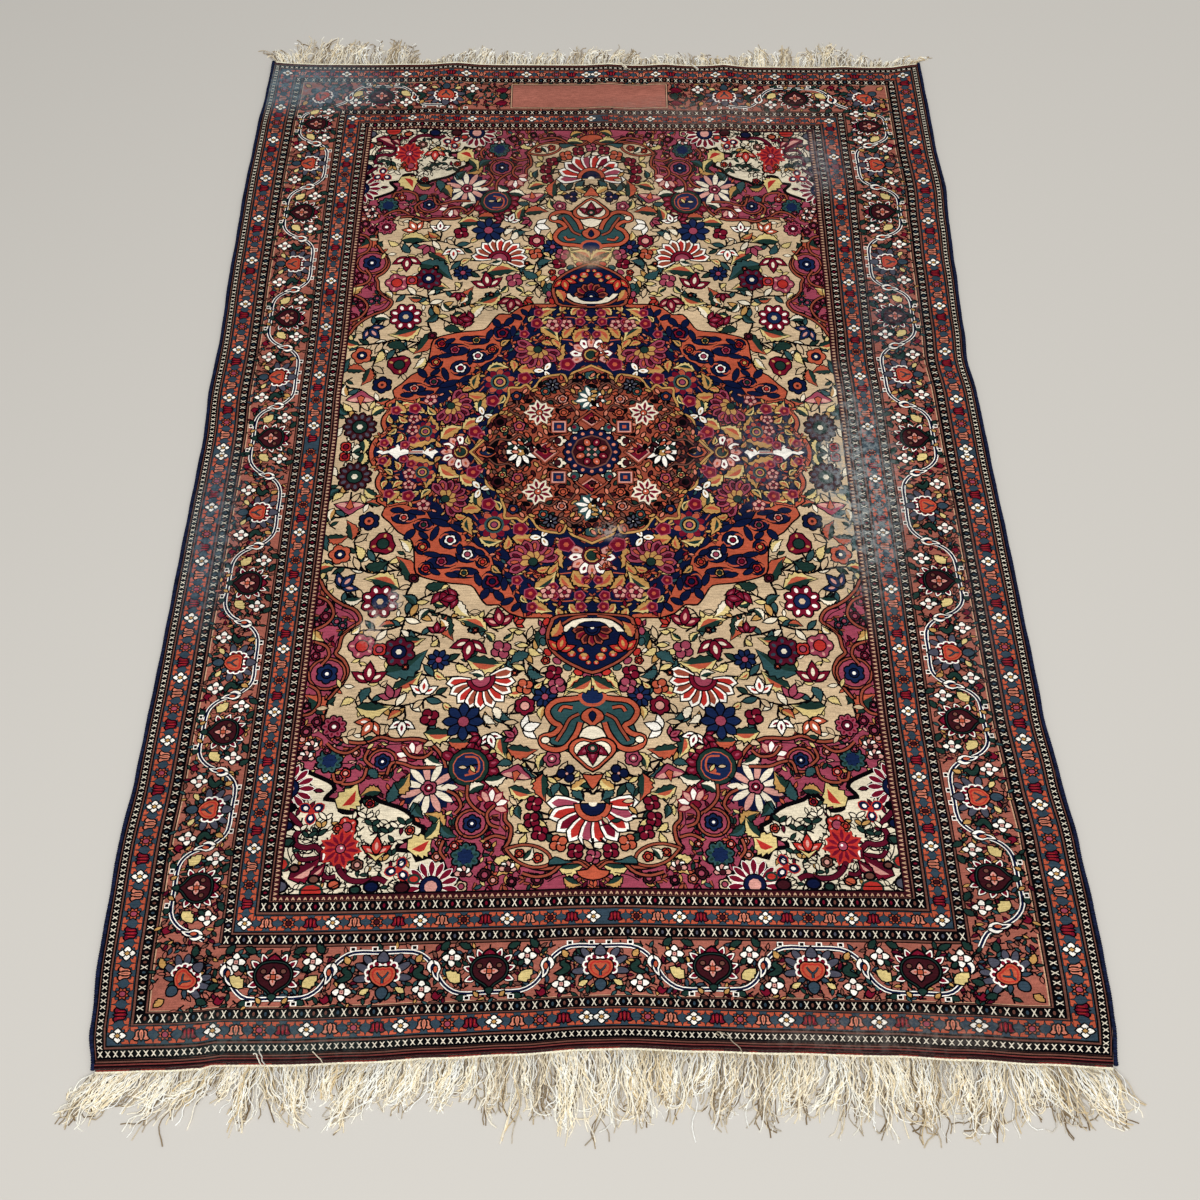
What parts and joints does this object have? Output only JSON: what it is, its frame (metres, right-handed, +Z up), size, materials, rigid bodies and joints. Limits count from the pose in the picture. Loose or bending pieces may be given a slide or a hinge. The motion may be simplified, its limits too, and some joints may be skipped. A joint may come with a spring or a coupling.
{
  "type": "persian rug",
  "caption": "Hand-knotted wool rug lying flat, with a medallion field, layered flower borders, overcast sides and a cotton fringe at both ends.",
  "frame": {"origin": "middle of the whole rug with its fringes, on the floor under it", "axes": "+Y along the rug towards its far end, +X to the right seen from the near end, +Z up out of the pile"},
  "size_m": [1.3874, 2.115, 0.0106],
  "materials": {
    "wool_pile": "knotted wool pile, matte",
    "navy_overcast": "overcast wool yarn, matte",
    "cotton_flatweave": "plain-woven cotton, matte",
    "cotton_fringe": "loose cotton warp threads, matte"
  },
  "bodies": {
    "root": {"rug_body": "wool_pile", "selvedge_left": "navy_overcast", "selvedge_right": "navy_overcast", "kilim_end_near": "cotton_flatweave", "kilim_end_far": "cotton_flatweave", "fringe_near": "cotton_fringe", "fringe_far": "cotton_fringe"}
  },
  "joints": []
}
